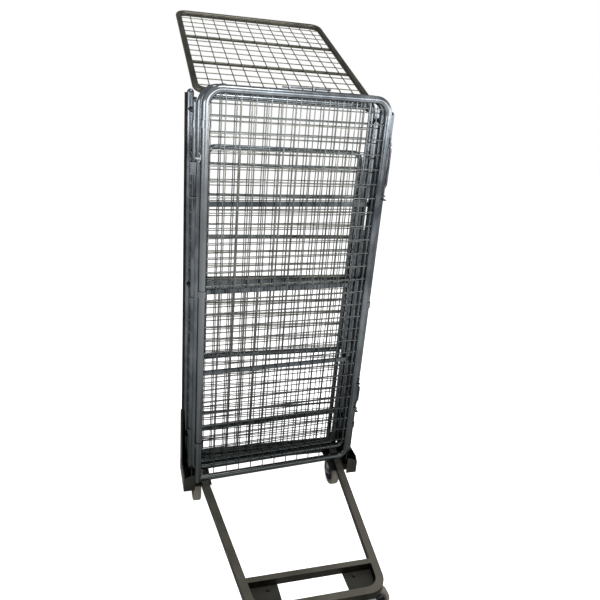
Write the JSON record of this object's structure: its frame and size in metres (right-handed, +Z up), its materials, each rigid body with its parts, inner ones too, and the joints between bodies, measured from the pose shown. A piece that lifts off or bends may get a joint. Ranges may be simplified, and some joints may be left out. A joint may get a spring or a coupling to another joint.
{
  "type": "nesting mesh roll cage",
  "caption": "Folding mesh roll cage on an A-shaped base: gate, sides, deck and shelf folded up against the end frame, hinged lid raised behind.",
  "frame": {"origin": "on the floor, under the middle of the folded cage's box, lid raised", "axes": "+Z up, +X to the right of someone facing the gate, -Y towards the narrow end of the base"},
  "size_m": [0.7627, 1.6806, 2.005],
  "materials": {
    "tube_steel": "bright zinc plated tube",
    "wire": "bright zinc plated wire",
    "lid_steel": "dull zinc plated tube",
    "base_steel": "dull, dark zinc plated section",
    "castor_steel": "zinc plated pressings",
    "hub": "light grey wheel centre",
    "tyre": "dark solid tread"
  },
  "bodies": {
    "cage": {"base_loop": "base_steel", "base_crossbar": "base_steel", "rear_crossmember": "base_steel", "rear_corner_plates": "base_steel", "front_castor_plates": "base_steel", "corner_shoes": "base_steel", "corner_strips": "tube_steel", "rear_posts": "tube_steel", "wing_posts": "tube_steel", "post_caps": "tube_steel", "end_mesh_frame": "tube_steel", "end_mesh": "wire", "end_rails": "tube_steel", "end_flats": "tube_steel", "wing_bars": "tube_steel", "wing_wires": "wire", "flap_brackets": "tube_steel", "lid_brackets": "lid_steel", "lid_pins": "lid_steel", "castor_top_plates": "castor_steel", "castor_bolts": "castor_steel", "rear_forks": "castor_steel"},
    "right_side": {"right_side_frame": "tube_steel", "right_side_mesh": "wire", "right_side_rails": "tube_steel", "right_side_loops": "tube_steel", "gate_loops": "tube_steel", "gate_keepers": "tube_steel", "side_bolt_guides": "tube_steel"},
    "gate": {"gate_frame": "tube_steel", "gate_mesh": "wire", "gate_bolt_guides": "tube_steel"},
    "left_side": {"left_side_frame": "tube_steel", "left_side_mesh": "wire", "left_side_rails": "tube_steel", "left_side_loops": "tube_steel", "lid_lock_guides": "tube_steel"},
    "deck": {"deck_frame": "tube_steel", "deck_mesh": "wire"},
    "shelf": {"shelf_frame": "tube_steel", "shelf_mesh": "wire"},
    "lid": {"lid_frame": "lid_steel", "lid_rails": "lid_steel", "lid_mesh": "wire", "lid_straps": "lid_steel"},
    "upper_bolt": {"gate_bolt_upper": "tube_steel"},
    "lower_bolt": {"gate_bolt_lower": "tube_steel"},
    "side_bolt_rod": {"side_bolt": "tube_steel"},
    "lid_lock": {"lid_lock_rod": "tube_steel"},
    "front_left_castor": {"front_left_fork": "castor_steel"},
    "front_right_castor": {"front_right_fork": "castor_steel"},
    "front_left_wheel": {"front_left_hub": "hub", "front_left_tyre": "tyre"},
    "front_right_wheel": {"front_right_hub": "hub", "front_right_tyre": "tyre"},
    "rear_left_wheel": {"rear_left_hub": "hub", "rear_left_tyre": "tyre"},
    "rear_right_wheel": {"rear_right_hub": "hub", "rear_right_tyre": "tyre"}
  },
  "joints": [
    {"name": "right_side_hinge", "type": "hinge", "parent": "cage", "child": "right_side", "pos_m": [0.348, -0.11476, 0.9], "axis": [0, 0, 1], "range_deg": [0, 85]},
    {"name": "gate_hinge", "type": "hinge", "parent": "right_side", "child": "gate", "pos_m": [-0.328, -0.20226, 0.9], "axis": [0, 0, 1], "range_deg": [-190, 0]},
    {"name": "left_side_hinge", "type": "hinge", "parent": "cage", "child": "left_side", "pos_m": [-0.348, -0.11476, 0.9], "axis": [0, 0, 1], "range_deg": [-0.3, 0.3]},
    {"name": "deck_hinge", "type": "hinge", "parent": "cage", "child": "deck", "pos_m": [0, -0.03576, 0.252], "axis": [1, 0, 0], "range_deg": [0, 0.35]},
    {"name": "shelf_hinge", "type": "hinge", "parent": "cage", "child": "shelf", "pos_m": [0, -0.05976, 0.725], "axis": [1, 0, 0], "range_deg": [0, 0.4]},
    {"name": "lid_hinge", "type": "hinge", "parent": "cage", "child": "lid", "pos_m": [0, 0.01924, 1.721], "axis": [1, 0, 0], "range_deg": [0, 159.4]},
    {"name": "upper_bolt_slide", "type": "slide", "parent": "gate", "child": "upper_bolt", "axis": [0, 0, 1], "range_m": [-0.022, 0]},
    {"name": "lower_bolt_slide", "type": "slide", "parent": "gate", "child": "lower_bolt", "axis": [0, 0, 1], "range_m": [-0.022, 0]},
    {"name": "side_bolt_slide", "type": "slide", "parent": "right_side", "child": "side_bolt_rod", "axis": [0, 0, 1], "range_m": [0, 0.04]},
    {"name": "lid_lock_slide", "type": "slide", "parent": "left_side", "child": "lid_lock", "axis": [0.9966, 0.0828, 0], "range_m": [-0.04, 0.02]},
    {"name": "front_left_swivel", "type": "hinge", "parent": "cage", "child": "front_left_castor", "pos_m": [-0.184, -0.76476, 0.137], "axis": [0, 0, 1], "continuous": true},
    {"name": "front_right_swivel", "type": "hinge", "parent": "cage", "child": "front_right_castor", "pos_m": [0.184, -0.76476, 0.137], "axis": [0, 0, 1], "continuous": true},
    {"name": "front_left_roll", "type": "hinge", "parent": "front_left_castor", "child": "front_left_wheel", "pos_m": [-0.224, -0.76476, 0.0625], "axis": [0, 1, 0], "continuous": true},
    {"name": "front_right_roll", "type": "hinge", "parent": "front_right_castor", "child": "front_right_wheel", "pos_m": [0.224, -0.76476, 0.0625], "axis": [0, 1, 0], "continuous": true},
    {"name": "rear_left_roll", "type": "hinge", "parent": "cage", "child": "rear_left_wheel", "pos_m": [-0.315, -0.03976, 0.0625], "axis": [1, 0, 0], "continuous": true},
    {"name": "rear_right_roll", "type": "hinge", "parent": "cage", "child": "rear_right_wheel", "pos_m": [0.315, -0.03976, 0.0625], "axis": [1, 0, 0], "continuous": true}
  ]
}
